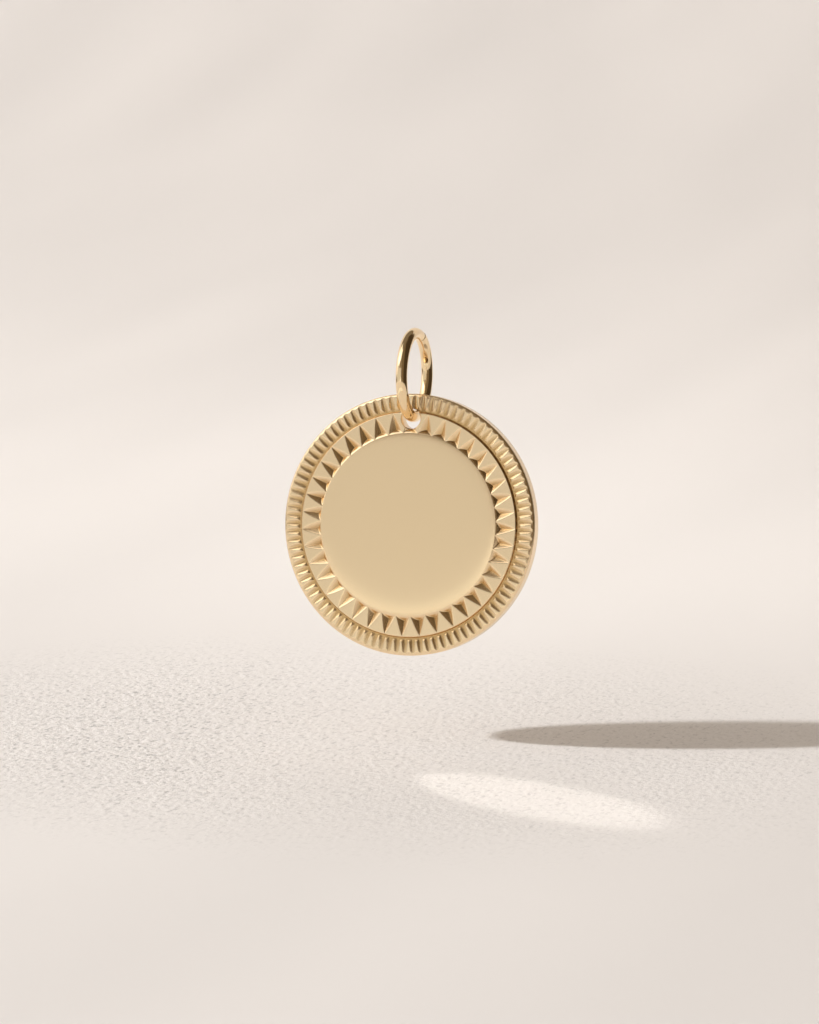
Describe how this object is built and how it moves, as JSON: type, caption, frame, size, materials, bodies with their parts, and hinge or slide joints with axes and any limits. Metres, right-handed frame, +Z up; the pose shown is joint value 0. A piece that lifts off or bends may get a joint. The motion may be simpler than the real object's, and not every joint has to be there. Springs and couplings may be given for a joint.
{
  "type": "engravable pendant",
  "caption": "Round medallion with a raised blank disc for engraving inside a border of pointed teeth and fine ribs, plain at the back, hanging from a round wire jump ring.",
  "frame": {"origin": "inside top of the jump ring's eye, where a chain passes and holds the pendant up", "axes": "+Z up, the medallion's front facing -Y, +X to the right of someone looking at the front; the jump ring lies in the YZ plane"},
  "size_m": [0.018, 0.0064, 0.0225],
  "materials": {
    "medallion_gold": "warm yellow gold, satin polished, slightly frosted in the cut pits",
    "ring_gold": "warm yellow gold wire, mirror polished"
  },
  "bodies": {
    "ring": {"jump_ring": "ring_gold"},
    "disc": {"medallion": "medallion_gold"}
  },
  "joints": [
    {"name": "disc_swing", "type": "hinge", "parent": "ring", "child": "disc", "pos_m": [0, 0, -0.0053], "axis": [0, 1, 0], "range_deg": [-75, 75]}
  ]
}
